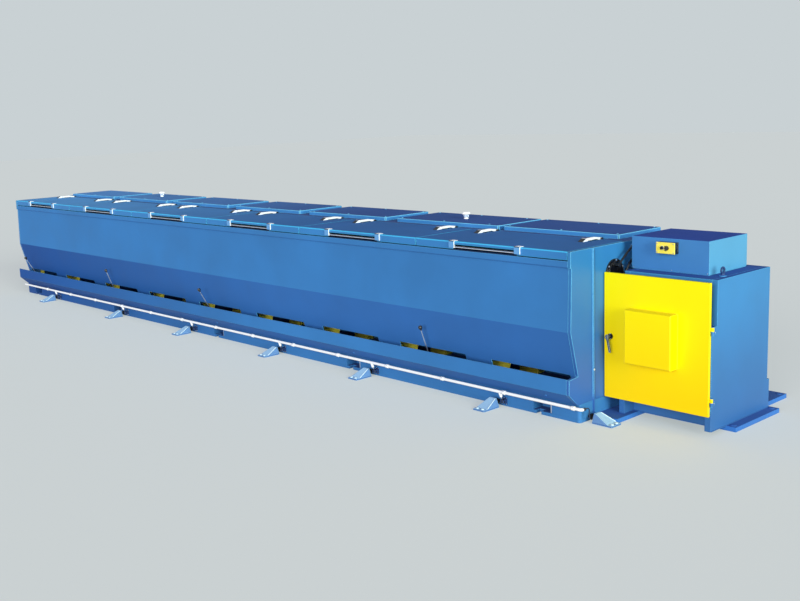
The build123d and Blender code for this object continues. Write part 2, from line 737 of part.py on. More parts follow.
# Levers: a rod with a ball knob, pivoted in a fork that stands in the trough
lever_brackets = []
for k, (share, lean) in enumerate(lever_places):
    x = -body_length * share
    reach_y = -math.sin(math.radians(lean))
    reach_z = math.cos(math.radians(lean))
    knob_y = lever_pivot_y + lever_length * reach_y
    knob_z = lever_pivot_z + lever_length * reach_z
    rod_path = Line((x, lever_pivot_y, lever_pivot_z), (x, knob_y, knob_z))
    lever = sweep(Plane(rod_path @ 0, z_dir=rod_path % 0) * Circle(lever_rod_diameter / 2), path=rod_path)
    lever += Pos(x, knob_y, knob_z) * Sphere(lever_knob_diameter / 2)
    lever += rod_x(lever_hub_radius, x - lever_hub_width / 2, x + lever_hub_width / 2,
                   lever_pivot_y, lever_pivot_z)
    lever -= rod_x(lever_pin_diameter / 2 + pin_clearance, x - lever_hub_width, x + lever_hub_width,
                   lever_pivot_y, lever_pivot_z)
    gap = lever_hub_width / 2 + touch
    floor_z = base_height + trough_sheet
    cheek = [(-fork_ear, floor_z), (fork_foot_depth - fork_ear, floor_z),
             (lever_pivot_y + fork_ear, lever_pivot_z + fork_ear),
             (lever_pivot_y - fork_ear, lever_pivot_z + fork_ear),
             (lever_pivot_y - fork_ear, lever_pivot_z - fork_ear)]
    fork = box(x - fork_foot_half, x + fork_foot_half, -fork_ear, fork_foot_depth,
               floor_z, floor_z + fork_plate)
    fork += run_x(cheek, x - gap - lever_cheek, x - gap) + run_x(cheek, x + gap, x + gap + lever_cheek)
    pin_half = gap + lever_cheek * 1.4
    fork += rod_x(lever_pin_diameter / 2, x - pin_half, x + pin_half, lever_pivot_y, lever_pivot_z)
    lever_brackets.append(fork)
    nodes[f"lever_{k + 1}"] = [lever]
nodes["lever_brackets"] = lever_brackets

# Cabinet base plate: one plate under the cabinet, out to the body, the right and the rear
plate_outline = [
    (touch, link_plate_front_y), (link_plate_right_x, link_plate_front_y),
    (link_plate_right_x, plate_flange_front_y), (plate_right_x, plate_flange_front_y),
    (plate_right_x, plate_flange_rear_y), (rear_plate_right_x, plate_flange_rear_y),
    (rear_plate_right_x, rear_plate_rear_y), (rear_plate_left_x, rear_plate_rear_y),
    (rear_plate_left_x, plate_flange_rear_y), (touch, plate_flange_rear_y),
]
base_plate = run_z(plate_outline, 0, plate_height)
plate_holes = [
    (plate_right_x - plate_hole_inset, plate_flange_front_y + plate_hole_inset),
    (plate_right_x - plate_hole_inset, plate_flange_rear_y - plate_hole_inset),
    (rear_plate_right_x - plate_hole_inset, rear_plate_rear_y - plate_hole_inset),
    (rear_plate_left_x + plate_hole_inset, rear_plate_rear_y - plate_hole_inset),
]
for x, y in plate_holes:
    base_plate -= rod_z(anchor_hole_diameter / 2, x, y, -1, plate_height + 1)
nodes["cabinet_base_plate"] = [base_plate]

# Cabinet sides: deep folded panels with a stepped front edge, standing on the plate
heel_rear_y = cabinet_rear_y + cabinet_heel_depth
side_outline = [
    (cabinet_step_y, plate_height), (heel_rear_y, plate_height),
    (heel_rear_y, cabinet_heel_z), (cabinet_rear_y, cabinet_heel_z), (cabinet_rear_y, cabinet_height),
    (cabinet_front_y, cabinet_height), (cabinet_front_y, cabinet_step_z),
    (cabinet_step_y, cabinet_step_z),
]
right_inner_x = cabinet_right_x - cabinet_side_thickness
left_inner_x = cabinet_left_x + cabinet_side_thickness
nodes["cabinet_right_side"] = [run_x(side_outline, right_inner_x, cabinet_right_x)]
nodes["cabinet_left_side"] = [run_x(side_outline, cabinet_left_x, left_inner_x)]
top_underside_z = cabinet_height - cabinet_sheet
nodes["cabinet_top"] = [
    box(left_inner_x, right_inner_x, cabinet_front_y, cabinet_rear_y, top_underside_z, cabinet_height)
]
cabinet_back = box(left_inner_x, right_inner_x, cabinet_rear_y - cabinet_sheet, cabinet_rear_y,
                   plate_height, top_underside_z)
cabinet_back += box(left_inner_x, right_inner_x, cabinet_rear_y, heel_rear_y, plate_height, cabinet_heel_z)
nodes["cabinet_back"] = [cabinet_back]
nodes["cabinet_sill"] = [
    box(left_inner_x, right_inner_x, sill_front_y, sill_rear_y, plate_height, sill_height)
]

# Finishing capstan behind the door
finish_x = (left_inner_x + right_inner_x) / 2
finish_seat_y = cabinet_rear_y - cabinet_sheet
finish_profile = capstan_profile(finish_seat_y - finish_front_y, finish_shaft_length, finish_shaft_radius)
nodes["finish_capstan"] = [turned_y(finish_profile, finish_x, finish_seat_y, finish_z)]

# Top box: a control enclosure with a deep cover over a slightly smaller foot
box_foot_top = cabinet_height + box_height - box_lid_height
top_box = box(box_left_x + box_step, box_right_x - box_step, box_front_y + box_step, box_rear_y - box_step,
              cabinet_height, box_foot_top)
cover = box(box_left_x, box_right_x, box_front_y, box_rear_y, box_foot_top, cabinet_height + box_height)
cover = fillet(cover.faces().sort_by(Axis.Z)[-1].edges(), box_step)

# Lifting eye
ring_z = cabinet_height + eye_stem_height
eye_left_x = eye_x - eye_thickness / 2
eye_right_x = eye_x + eye_thickness / 2
eye = rod_x(eye_outer_radius, eye_left_x, eye_right_x, eye_y, ring_z)
eye = fillet(eye.edges().filter_by(GeomType.CIRCLE), eye_thickness / 3)
eye += rod_z(eye_bore_radius, eye_x, eye_y, cabinet_height, ring_z - eye_outer_radius + 4)
eye -= rod_x(eye_bore_radius, eye_left_x - 1, eye_right_x + 1, eye_y, ring_z)
nodes["lifting_eye"] = [eye]

# Cabinet door: a folded pan with a raised box and two hinge knuckles welded to its edge
door_rear_y = door_front_y + door_thickness
door = box(door_left_x, door_right_x, door_front_y, door_rear_y, door_bottom_z, door_top_z)
door -= box(door_left_x + door_sheet, door_right_x - door_sheet, door_front_y + door_sheet, door_rear_y,
            door_bottom_z + door_sheet, door_top_z - door_sheet)
raised = box(door_box_left_x, door_box_right_x, door_front_y - door_box_depth, door_front_y,
             door_box_bottom_z, door_box_top_z)
raised = fillet(raised.faces().sort_by(Axis.Y)[0].edges(), door_box_taper)
door += raised
knuckles = []
hinge_leaf_rear_y = cabinet_step_y + 45
for z in door_hinge_heights:
    middle_z = z + knuckle_height / 2
    top_z = z + knuckle_height
    upper = rod_z(knuckle_radius, door_hinge_x, door_hinge_y, middle_z + touch, top_z)
    upper += box(door_right_x - 12, door_hinge_x, door_hinge_y - 4, door_hinge_y + 4, middle_z + touch, top_z)
    upper -= rod_z(door_pin_diameter / 2 + pin_clearance, door_hinge_x, door_hinge_y, z, top_z + 1)
    door += upper
    lower = rod_z(knuckle_radius, door_hinge_x, door_hinge_y, z, middle_z)
    lower += box(cabinet_right_x, cabinet_right_x + hinge_leaf, door_hinge_y, hinge_leaf_rear_y, z, middle_z)
    lower += rod_z(door_pin_diameter / 2, door_hinge_x, door_hinge_y, z, top_z - 4)
    knuckles.append(lower)
nodes["cabinet_door"] = [door]
nodes["door_hinge_pins"] = knuckles

# Door handle: a tapered lever on a spindle through a round rose
grip_y = door_front_y - 46
tip = math.radians(door_handle_tilt)
rose = rod_y(24, door_handle_x, door_front_y - 9, door_front_y, door_handle_z)
nodes["door_rose"] = [rose - rod_y(spindle_diameter / 2 + pin_clearance, door_handle_x, door_front_y - 20,
                                   door_front_y + 10, door_handle_z)]
lever = rod_y(spindle_diameter / 2, door_handle_x, grip_y, door_front_y - touch, door_handle_z)
lever += rod_y(15, door_handle_x, grip_y - 12, grip_y + 10, door_handle_z)
along = (math.sin(tip), -math.cos(tip))
across = (math.cos(tip), math.sin(tip))
blade = []
for distance, half in ((-22, 9), (door_handle_reach - 30, 7)):
    for side in (-1, 1):
        blade.append((
            door_handle_x + along[0] * distance + side * half * across[0],
            door_handle_z + along[1] * distance + side * half * across[1],
        ))
lever += run_y([blade[0], blade[1], blade[3], blade[2]], grip_y - 10, grip_y + 4)
nodes["door_handle"] = [lever]

# Push-button station
station_rear_y = box_front_y
station_mid_y = station_rear_y - station_base_depth
station_front_y = station_mid_y - station_cover_depth
station_base = box(station_left_x, station_right_x, station_mid_y, station_rear_y,
                   station_bottom_z, station_top_z)
station = box(station_left_x, station_right_x, station_front_y, station_mid_y,
              station_bottom_z, station_top_z)
station = fillet(station.faces().sort_by(Axis.Y)[0].edges(), station_cover_depth / 3)
stem_end_y = station_front_y + stem_depth
for x in (button_x, selector_x):
    bore = rod_y(stem_diameter / 2 + pin_clearance, x, station_front_y - 1,
                 stem_end_y + stem_diameter / 2, button_z)
    station_base -= bore
    station -= bore
nodes["station_base"] = [station_base]
nodes["station_cover"] = [station]
button = rod_y(stem_diameter / 2, button_x, station_front_y - 7, stem_end_y, button_z)
button += rod_y(button_radius, button_x, station_front_y - 16, station_front_y - 6, button_z)
nodes["push_button"] = [button]
selector = rod_y(stem_diameter / 2, selector_x, station_front_y - 6, stem_end_y, button_z)
selector += rod_y(selector_radius, selector_x, station_front_y - 10, station_front_y - touch, button_z)
selector += box(selector_x - 5, selector_x + 5, station_front_y - 26, station_front_y - 10,
                button_z - selector_radius, button_z + selector_radius)
nodes["selector_knob"] = [selector]

# End flange: a stepped blank flange with an elbow gland for each hose
def away(tip, follower):
    """The unit direction from one (y, z) point to the one before it, and the elbow's centre."""
    length = math.dist(tip, follower)
    step_y = (tip[0] - follower[0]) / length
    step_z = (tip[1] - follower[1]) / length
    return tip[0] + step_y * gland_reach, tip[1] + step_z * gland_reach


def elbow(tip, follower, wall_x):
    """A right-angled gland from a wall at wall_x to the hose's end at tip."""
    y, z = away(tip, follower)
    over = gland_radius * 0.9 * (1 if hose_x > wall_x else -1)
    body = rod_x(gland_radius, min(wall_x, hose_x + over), max(wall_x, hose_x + over), y, z)
    nozzle_plane = Plane(origin=(hose_x, y, z), x_dir=(1, 0, 0), z_dir=(0, tip[0] - y, tip[1] - z))
    nozzle = extrude(nozzle_plane * Circle(gland_radius - 2), amount=gland_reach)
    return body + nozzle


def hose(route):
    """A tube along straight runs joined by arcs as large as the runs allow."""
    points = [(hose_x, y, z) for y, z in route]
    radii = []
    for before, corner, after in zip(points, points[1:], points[2:]):
        turn = (Vector(corner) - Vector(before)).get_angle(Vector(after) - Vector(corner))
        shorter = min(math.dist(before, corner), math.dist(corner, after))
        radii.append(0.45 * shorter / math.tan(math.radians(turn / 2)))
    print("hose arc radii", [round(radius) for radius in radii])
    path = FilletPolyline(*points, radius=radii)
    tube = sweep(Plane(path @ 0, z_dir=path % 0) * Circle(hose_diameter / 2), path=path)
    print("hose length", round(path.length), "volume over section", round(
        tube.volume / (math.pi * hose_diameter ** 2 / 4)))
    return tube


flange = rod_x(flange_radius, 0, flange_thickness / 2, flange_y, flange_z)
flange += rod_x(flange_radius * 0.82, 0, flange_thickness, flange_y, flange_z)
top_box += cover
for name, (start, end), bows in zip(("upper_hose", "lower_hose"), hose_ends, hose_bows):
    route = [start]
    for share, bow in bows:
        route.append((start[0] + share * (end[0] - start[0]), start[1] + share * (end[1] - start[1]) + bow))
    route.append(end)
    print(name, "route", [(round(y), round(z)) for y, z in route])
    flange += elbow(route[0], route[1], flange_thickness)
    top_box += elbow(route[-1], route[-2], box_left_x)
    nodes[name] = [hose(route)]
nodes["end_flange"] = [flange]
nodes["top_box"] = [top_box]

# Place the assembly with its origin at the middle of its box, on the floor
lows = []
highs = []
for solids in nodes.values():
    for solid in solids:
        bounds = solid.bounding_box()
        lows.append((bounds.min.X, bounds.min.Y, bounds.min.Z))
        highs.append((bounds.max.X, bounds.max.Y, bounds.max.Z))
low = [min(values) for values in zip(*lows)]
high = [max(values) for values in zip(*highs)]
shift = Pos(-(low[0] + high[0]) / 2, -(low[1] + high[1]) / 2, 0)
print("machine frame to part frame", -(low[0] + high[0]) / 2, -(low[1] + high[1]) / 2)
print("lowest point", low[2], "size", [round(b - a, 1) for a, b in zip(low, high)])

os.makedirs("parts", exist_ok=True)
for name, solids in nodes.items():
    placed = [shift * solid for solid in solids]
    shape = placed[0] if len(placed) == 1 else Compound(children=placed)
    shape.label = name
    export_step(shape, f"parts/{name}.step")
print(len(nodes), "nodes")
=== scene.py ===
"""Dresses a wire drawing machine: a long body of blue enamelled steel with six lids, and a
finishing cabinet with a yellow door at its right end.
"""

import math

import bpy
import numpy as np
from mathutils import Matrix, Vector


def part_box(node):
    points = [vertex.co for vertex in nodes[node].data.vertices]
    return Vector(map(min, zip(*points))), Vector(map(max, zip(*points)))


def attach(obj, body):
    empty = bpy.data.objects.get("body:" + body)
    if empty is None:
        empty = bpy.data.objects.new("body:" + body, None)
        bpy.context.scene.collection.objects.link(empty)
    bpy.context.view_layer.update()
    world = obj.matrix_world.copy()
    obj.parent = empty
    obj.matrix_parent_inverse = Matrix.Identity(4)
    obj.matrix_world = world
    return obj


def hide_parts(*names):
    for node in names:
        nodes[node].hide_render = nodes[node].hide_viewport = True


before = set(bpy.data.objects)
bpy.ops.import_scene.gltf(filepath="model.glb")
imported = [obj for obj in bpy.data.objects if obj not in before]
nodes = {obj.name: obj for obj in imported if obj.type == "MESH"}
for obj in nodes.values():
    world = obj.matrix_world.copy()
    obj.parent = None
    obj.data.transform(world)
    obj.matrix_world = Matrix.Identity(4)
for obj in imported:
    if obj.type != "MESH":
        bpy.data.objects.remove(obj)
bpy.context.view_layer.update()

# Camera: stands off the machine's right front corner at a tall person's reach, looking along
# the body from its right end. Distances are from the base's right front corner on the floor.
corner = Vector((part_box("base_frame")[1].x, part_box("base_side_rails")[0].y, 0.0))
camera_offset = Vector((5.037, -6.628, 2.600))
camera_yaw = math.radians(-47.15)
camera_pitch = math.radians(10.50)
camera_roll = math.radians(-2.14)

forward = Vector(
    (
        math.sin(camera_yaw) * math.cos(camera_pitch),
        math.cos(camera_yaw) * math.cos(camera_pitch),
        -math.sin(camera_pitch),
    )
)
level_right = Vector((math.cos(camera_yaw), -math.sin(camera_yaw), 0.0))
level_up = level_right.cross(forward)
image_right = level_right * math.cos(camera_roll) + level_up * math.sin(camera_roll)
image_up = level_up * math.cos(camera_roll) - level_right * math.sin(camera_roll)

camera_data = bpy.data.cameras.new("camera")
camera_data.sensor_width = 36.0
camera_data.lens = 46.97
camera_data.clip_start = 0.1
camera_data.clip_end = 200.0
camera = bpy.data.objects.new("camera", camera_data)
turn = Matrix((image_right, image_up, -forward)).transposed().to_4x4()
camera.matrix_world = Matrix.Translation(corner + camera_offset) @ turn
bpy.context.scene.collection.objects.link(camera)
bpy.context.scene.camera = camera


# Studio: a pale grey paper floor and backdrop in even light. A broad lamp stands low at the
# right, a weaker one in front, and a weak violet sky closes the shadows. Seen or reflected, the
# paper glows by as much as its lit tone falls short of the backdrop's, so only shadows show.
paper_grey = "C9D1D4"
paper_tone = 0.45
level_light = (0.555, 0.58, 0.64)


def linear(hex_colour, alpha=1.0):
    """An sRGB hex colour as linear red, green, blue and alpha, by the sRGB curve."""
    parts = [int(hex_colour[i : i + 2], 16) / 255 for i in (0, 2, 4)]
    curve = [c / 12.92 if c <= 0.04045 else ((c + 0.055) / 1.055) ** 2.4 for c in parts]
    return (*curve, alpha)


def node(tree, kind, inputs=None, **settings):
    """Adds a shader node with its settings. A value in inputs is either another node's output,
    which is linked, or a plain number or colour.
    """
    made = tree.nodes.new(kind)
    for name, value in settings.items():
        setattr(made, name, value)
    for name, value in (inputs or {}).items():
        if isinstance(value, bpy.types.NodeSocket):
            tree.links.new(value, made.inputs[name])
        else:
            made.inputs[name].default_value = value
    return made


def new_material(name):
    """An empty node material, with its tree and its output node."""
    material = bpy.data.materials.new(name)
    material.use_nodes = True
    tree = material.node_tree
    tree.nodes.clear()
    return material, tree, tree.nodes.new("ShaderNodeOutputMaterial")


def seen_rays(tree):
    """One for a ray from the camera, a reflection or glass, and nought for the light between
    pieces: the greatest of the three kinds.
    """
    rays = node(tree, "ShaderNodeLightPath").outputs
    seen = rays["Is Camera Ray"]
    for kind in ("Is Glossy Ray", "Is Transmission Ray"):
        seen = node(tree, "ShaderNodeMath", {0: seen, 1: rays[kind]}, operation="MAXIMUM").outputs[0]
    return seen


backdrop = linear(paper_grey)
world = bpy.data.worlds.new("studio")
bpy.context.scene.world = world
world.use_nodes = True
sky = world.node_tree
sky.nodes.clear()
sky_light = node(sky, "ShaderNodeBackground", {"Color": (0.80, 0.76, 0.95, 1.0), "Strength": 0.30})
sky_seen = node(sky, "ShaderNodeBackground", {"Color": backdrop, "Strength": 1.0})
sky_shaders = {0: seen_rays(sky), 1: sky_light.outputs[0], 2: sky_seen.outputs[0]}
sky_mix = node(sky, "ShaderNodeMixShader", sky_shaders)
node(sky, "ShaderNodeOutputWorld", {0: sky_mix.outputs[0]})

for name, towards, strength, spread, colour in (
    ("right_lamp", (1.0, -0.22, 0.18), 3.6, 30.0, (0.92, 1.0, 0.88)),
    ("front_lamp", (0.35, -1.0, 0.22), 2.2, 35.0, (1.0, 1.0, 1.0)),
):
    lamp_data = bpy.data.lights.new(name, "SUN")
    lamp_data.energy = strength
    lamp_data.angle = math.radians(spread)
    lamp_data.color = colour
    lamp = bpy.data.objects.new(name, lamp_data)
    lamp.rotation_mode = "QUATERNION"
    lamp.rotation_quaternion = Vector(towards).to_track_quat("Z", "Y")
    bpy.context.scene.collection.objects.link(lamp)

floor_size = 60.0
floor_mesh = bpy.data.meshes.new("studio_floor")
floor_corners = np.array([(-1, -1), (1, -1), (1, 1), (-1, 1)]) * floor_size
floor_mesh.from_pydata([(x, y, 0.0) for x, y in floor_corners.tolist()], [], [(0, 1, 2, 3)])
floor = bpy.data.objects.new("studio_floor", floor_mesh)
bpy.context.scene.collection.objects.link(floor)
paper, tree, out = new_material("matt_studio_paper")
matt = node(tree, "ShaderNodeBsdfDiffuse", {"Color": (paper_tone, paper_tone, paper_tone, 1.0)})
missing = [b - paper_tone * light for b, light in zip(backdrop, level_light)]
glow = node(tree, "ShaderNodeEmission", {"Color": (*missing, 1.0), "Strength": seen_rays(tree)})
both = node(tree, "ShaderNodeAddShader", {0: matt.outputs[0], 1: glow.outputs[0]})
tree.links.new(both.outputs[0], out.inputs[0])
floor_mesh.materials.append(paper)

bpy.context.scene.view_settings.view_transform = "Standard"


# Base: a welded bed of thick steel plate on the floor, edged by two rails with lifting pockets
# between them, each with a turned steel pin in two collars. All but those is sprayed blue.
machine_blue = "3175B4"
# level_shade_blue is the painted shade of level faces and edge_highlight_blue a painted highlight on edges.
level_shade_blue = "31538F"
edge_highlight_blue = "58B4E4"
body_length = 10400.0
base_depth = 1300.0
pin_inset = 18.0
pin_foot, pin_top = 30.0, 108.0
pocket_inset = 290.0
pocket_pitch = 2440.0
pocket_rights = -pocket_inset - pocket_pitch * np.arange(5)
front_bend = 0.775


def enamel(
    name,
    colour,
    level_lighting_colour,
    edge_lighting_colour,
    under_shade_colour=None,
    front_lighting_colour=None,
    far_left_shade_colour=None,
    far_sheen_colour=None,
    graded_tone=None,
    bends=False,
    roughness=0.38,
    dust=0.1,
    rounding=0.0055,
    ior=1.42,
    edge_above=0.17,
    mottle=0.08,
):
    """Sprayed two-part machine enamel on steel plate: a satin film that rounds each edge to a
    few millimetres, where edge_lighting_colour paints the light that the edge catches and, with bends,
    also on bends and slopes.

    Shade and light are painted into the colour by the way a face turns: level_lighting_colour on level
    faces, under_shade_colour as painted shade on faces that lean over, and front_lighting_colour on the
    front.
    far_left_shade_colour is painted shade that grows towards the left end below the front's bend, and
    far_sheen_colour is a painted reflection that lightens level faces there. graded_tone is an
    axis, a start, an end and the colour that the coat turns to between them. Dust and oil make
    level faces matt, and shop dust lies near the floor. The painted edge light shows from the
    height edge_above up. The orange peel is drawn at 9 mm because the real 1 to 2 mm can't show.

    Each layer covers those before it by a share that goes from nought to its most while a
    measure of the place or of the face goes from start to end.
    """
    material, tree, out = new_material(name)
    where = node(tree, "ShaderNodeTexCoord").outputs
    place = where["Object"]
    rearward, facing = node(tree, "ShaderNodeSeparateXYZ", {0: where["Normal"]}).outputs[1:]
    spots = node(tree, "ShaderNodeSeparateXYZ", {0: place}).outputs
    rightward, height = spots[0], spots[2]
    waves = {"Vector": place, "Scale": 1.1, "Detail": 4.0, "Roughness": 0.55}
    sheet_tone = node(tree, "ShaderNodeTexNoise", waves).outputs[0]
    pits = {"Vector": place, "Scale": 110.0, "Detail": 2.0}
    speckle = node(tree, "ShaderNodeTexNoise", pits).outputs[0]

    # Painted reflection: level faces lighten towards the left end.
    far_sheen = node(tree, "ShaderNodeMapRange", {0: rightward, 1: 1.2, 2: -3.9}).outputs[0]
    tones = {0: far_sheen, 6: linear(level_lighting_colour), 7: linear(far_sheen_colour or level_lighting_colour)}
    level_lighting = node(tree, "ShaderNodeMix", tones, data_type="RGBA").outputs[2]
    # Painted light and shade by the way a face turns: front, level and leaning-over faces.
    layers = [
        (rearward, -0.3, -0.8, 1.0, linear(front_lighting_colour or colour)),
        (facing, 0.3, 0.8, 1.0, level_lighting),
        (facing, -0.05, -0.20, 1.0, linear(under_shade_colour or colour)),
    ]
    if graded_tone:
        axis, start, end, tone = graded_tone
        layers.append((spots[axis], start, end, 1.0, linear(tone)))
    # Painted shade that grows towards the left end below the front's bend.
    if far_left_shade_colour:
        front_side = node(tree, "ShaderNodeMapRange", {0: rearward, 1: 0.5, 2: 0.2}).outputs[0]
        leftward = {0: rightward, 1: 0.9, 2: -5.1, 4: front_side}
        oil = node(tree, "ShaderNodeMapRange", leftward).outputs[0]
        layers.append((height, front_bend + 0.01, front_bend, oil, linear(far_left_shade_colour)))
    # Painted highlight on bends and slopes.
    if bends:
        sloping = node(tree, "ShaderNodeMapRange", {0: facing, 1: 0.98, 2: 0.91}).outputs[0]
        layers.append((facing, 0.1, 0.3, sloping, linear(edge_lighting_colour)))
    coat = linear(colour)
    for measure, start, end, most, tone in layers:
        share = node(tree, "ShaderNodeMapRange", {0: measure, 1: start, 2: end, 4: most})
        mix = {0: share.outputs[0], 6: coat, 7: tone}
        coat = node(tree, "ShaderNodeMix", mix, data_type="RGBA").outputs[2]

    film = {0: sheet_tone, 1: 0.35, 2: 0.65, 3: 1.0 - mottle, 4: 1.0 + mottle}
    thickness = node(tree, "ShaderNodeMapRange", film).outputs[0]
    scaled = {0: coat, "Scale": thickness}
    toned = node(tree, "ShaderNodeVectorMath", scaled, operation="SCALE").outputs[0]
    low_down = node(tree, "ShaderNodeMapRange", {0: height, 1: 0.0, 2: 0.25, 3: dust, 4: 0.0})
    specks = {0: speckle, 1: 0.35, 2: 0.7, 4: low_down.outputs[0]}
    settled = node(tree, "ShaderNodeMapRange", specks).outputs[0]
    mix = {0: settled, 6: toned, 7: linear("5B5A58")}
    dusted = node(tree, "ShaderNodeMix", mix, data_type="RGBA").outputs[2]

    rounded = node(tree, "ShaderNodeBevel", {"Radius": rounding}, samples=6).outputs[0]
    flat = node(tree, "ShaderNodeNewGeometry").outputs["Normal"]
    # Painted edge light: where the rounded normal turns from the flat one, the coat takes
    # edge_lighting_colour, from the height edge_above up.
    meeting = node(tree, "ShaderNodeVectorMath", {0: rounded, 1: flat}, operation="DOT_PRODUCT")
    above = {0: height, 1: edge_above, 2: edge_above + 0.05, 4: 0.9}
    high_up = node(tree, "ShaderNodeMapRange", above).outputs[0]
    edge_lighting_range = {0: meeting.outputs["Value"], 1: 0.995, 2: 0.90, 4: high_up}
    edge_lighting_share = node(tree, "ShaderNodeMapRange", edge_lighting_range).outputs[0]
    mix = {0: edge_lighting_share, 6: dusted, 7: linear(edge_lighting_colour)}
    edged = node(tree, "ShaderNodeMix", mix, data_type="RGBA").outputs[2]

    orange_peel = {"Strength": 0.12, "Distance": 0.0008, "Height": speckle, "Normal": rounded}
    peel = node(tree, "ShaderNodeBump", orange_peel).outputs[0]
    hollows = {"Strength": 0.2, "Distance": 0.003, "Height": sheet_tone, "Normal": peel}
    buckle = node(tree, "ShaderNodeBump", hollows).outputs[0]
    satin = {0: sheet_tone, 1: 0.35, 2: 0.65, 3: roughness, 4: roughness + 0.12}
    gloss = node(tree, "ShaderNodeMapRange", satin).outputs[0]
    dulled = node(tree, "ShaderNodeMapRange", {0: facing, 1: 0.3, 2: 0.8, 4: 0.9}).outputs[0]
    matted = node(tree, "ShaderNodeMath", {0: gloss, 1: dulled}, operation="MAXIMUM").outputs[0]
    surface = {"Base Color": edged, "Roughness": matted, "IOR": ior, "Normal": buckle}
    shader = node(tree, "ShaderNodeBsdfPrincipled", surface)
    tree.links.new(shader.outputs[0], out.inputs[0])
    return material


def bare_metal(name, colour, roughness, grain=260.0, wear=0.25):
    """Turned, ground or plated metal: fine tool marks drawn about 4 mm apart, with an oily film
    that varies the gloss and darkens the colour.
    """
    material, tree, out = new_material(name)
    place = node(tree, "ShaderNodeTexCoord").outputs["Object"]
    tool = {"Vector": place, "Scale": grain, "Detail": 3.0, "Roughness": 0.7}
    marks = node(tree, "ShaderNodeTexNoise", tool).outputs[0]
    oil = {"Vector": place, "Scale": 14.0, "Detail": 4.0}
    film = node(tree, "ShaderNodeTexNoise", oil).outputs[0]
    dark = node(tree, "ShaderNodeMapRange", {0: film, 1: 0.35, 2: 0.65, 3: wear, 4: 0.0}).outputs[0]
    mix = {0: dark, 6: linear(colour), 7: linear("000000")}
    tone = node(tree, "ShaderNodeMix", mix, data_type="RGBA").outputs[2]
    satin = {0: film, 1: 0.3, 2: 0.7, 3: roughness, 4: roughness + 0.15}
    gloss = node(tree, "ShaderNodeMapRange", satin).outputs[0]
    relief = node(tree, "ShaderNodeBump", {"Strength": 0.2, "Distance": 0.0004, "Height": marks})
    surface = {"Base Color": tone, "Metallic": 1.0, "Roughness": gloss, "Normal": relief.outputs[0]}
    shader = node(tree, "ShaderNodeBsdfPrincipled", surface)
    tree.links.new(shader.outputs[0], out.inputs[0])
    return material


def dress(material, *names):
    """Gives these steel pieces this finish."""
    for name in names:
        for held in nodes[name].material_slots:
            held.material = material
        if not nodes[name].material_slots:
            nodes[name].data.materials.append(material)


def turned(profile, around=16):
    """Rings about Z from (radius, height) points: r cos a, r sin a, h."""
    radius, height = np.asarray(profile, dtype=float).T[:, :, None]
    angle = np.arange(around) * 2 * math.pi / around
    return np.stack([radius * np.cos(angle), radius * np.sin(angle), height + 0 * angle], axis=2)


def set_at(rings, places, up=(0.0, 0.0, 1.0)):
    """Copies of rings drawn about Z, moved to each place with Z turned to the direction up:
    place + x side + y (up x side) + z up.
    """
    up = np.asarray(up, dtype=float) / np.linalg.norm(up)
    side = np.cross(up, (0.0, 0.0, 1.0) if abs(up[2]) < 0.9 else (1.0, 0.0, 0.0))
    side /= np.linalg.norm(side)
    turn = np.stack([side, np.cross(up, side), up])
    return np.asarray(places, dtype=float)[:, None, None, :] + rings @ turn


def skin(name, rings, material, body="machine"):
    """One object of closed skins from rings of the shape copies, rings, points, 3, in
    millimetres from the corner. Faces join point j of ring i to point j + 1 and to ring i + 1,
    and a fan about the middle of the first and the last ring closes each end.
    """
    rings = np.asarray(rings, dtype=float)
    copies, count, around = rings.shape[:3]
    points = np.concatenate([rings.reshape(copies, -1, 3), rings[:, [0, -1]].mean(axis=2)], axis=1)
    step = np.arange(around)
    ahead = (step + 1) % around
    level = (np.arange(count - 1) * around)[:, None]
    corners = [level + step, level + ahead, level + around + ahead, level + around + step]
    quads = np.stack(corners, axis=2).reshape(-1, 4)
    middle = count * around
    low_fan = np.stack([np.full(around, middle), ahead, step], axis=1)
    last_ring = middle - around
    high_fan = np.stack([np.full(around, middle + 1), last_ring + step, last_ring + ahead], axis=1)
    fans = np.concatenate([low_fan, high_fan])
    sheets = np.concatenate([quads[:, [0, 1, 2]], quads[:, [0, 2, 3]], fans])
    first, second, third = (points[0] - points[0].mean(axis=0))[sheets].transpose(1, 0, 2)
    if np.sum(first * np.cross(second, third)) < 0:
        quads, fans = quads[:, ::-1], fans[:, ::-1]
    offset = (np.arange(copies) * points.shape[1])[:, None, None]
    faces = (offset + quads).reshape(-1, 4).tolist() + (offset + fans).reshape(-1, 3).tolist()
    mesh = bpy.data.meshes.new(name)
    mesh.from_pydata((points.reshape(-1, 3) / 1000 + np.array(corner)).tolist(), [], faces)
    mesh.polygons.foreach_set("use_smooth", [True] * len(faces))
    mesh.set_sharp_from_angle(angle=math.radians(40))
    mesh.materials.append(material)
    made = bpy.data.objects.new(name, mesh)
    bpy.context.scene.collection.objects.link(made)
    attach(made, body)
    return made


# The machine blue is painted darker on level faces, on faces that lean over, and towards the left end below
# the front's bend, as shade, with painted highlights on edges.
front_enamel = enamel(
    "blue_machine_enamel",
    machine_blue,
    level_shade_blue,
    edge_highlight_blue,
    under_shade_colour="2C68AE",
    far_left_shade_colour="084890",
    roughness=0.6,
)
dress(front_enamel, "base_frame", "base_side_rails", "base_side_blocks")
turned_steel = bare_metal("turned_bright_steel", "C8D6EC", 0.25)
dress(turned_steel, "lifting_pins")

